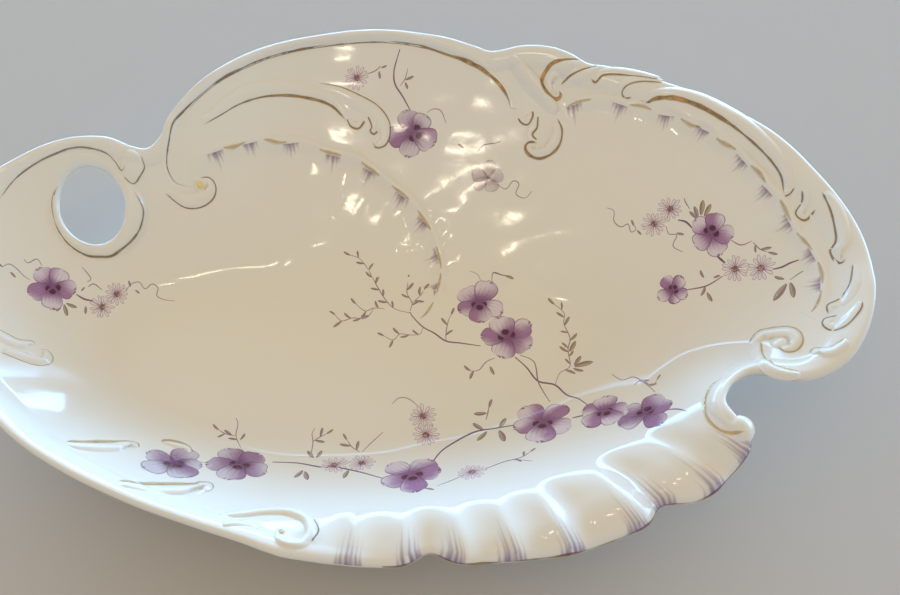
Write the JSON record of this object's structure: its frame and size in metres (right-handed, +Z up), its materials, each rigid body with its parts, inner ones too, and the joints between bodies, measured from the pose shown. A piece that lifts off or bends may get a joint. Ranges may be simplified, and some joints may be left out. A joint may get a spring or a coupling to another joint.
{
  "type": "bonbon dish",
  "caption": "Shallow oval porcelain dish on a foot ring, with a pierced finger loop, a fluted turned-over lip, moulded scrolls and gilding.",
  "frame": {"origin": "middle of the dish's plan box, on the plane that the foot ring stands on", "axes": "+X along the dish towards the round end, +Y towards the back rim, +Z up; the finger loop is at -X and the fluted lip at -Y"},
  "size_m": [0.232, 0.148, 0.0389],
  "materials": {
    "glazed_porcelain": "clear glossy glaze over ivory white porcelain",
    "bare_porcelain": "glazed sides and a ground, unglazed standing face",
    "fired_gold": "thin fired gold, rubbed with wear"
  },
  "bodies": {
    "root": {"dish_body": "glazed_porcelain", "foot_ring": "bare_porcelain", "finger_loop": "glazed_porcelain", "c_scroll": "glazed_porcelain", "plume_scroll": "glazed_porcelain", "crest_scroll": "glazed_porcelain", "border_scrolls": "glazed_porcelain", "end_volute": "glazed_porcelain", "notch_roll": "glazed_porcelain", "front_volute": "glazed_porcelain", "side_scrolls": "glazed_porcelain", "left_shell_edge": "glazed_porcelain", "right_shell_edge": "glazed_porcelain", "loop_gilding": "fired_gold", "c_scroll_gilding": "fired_gold", "plume_gilding": "fired_gold", "crest_gilding": "fired_gold", "border_gilding": "fired_gold", "end_volute_gilding": "fired_gold", "notch_gilding": "fired_gold", "side_gilding": "fired_gold", "shell_edge_gilding": "fired_gold", "lip_gilding": "fired_gold"}
  },
  "joints": []
}
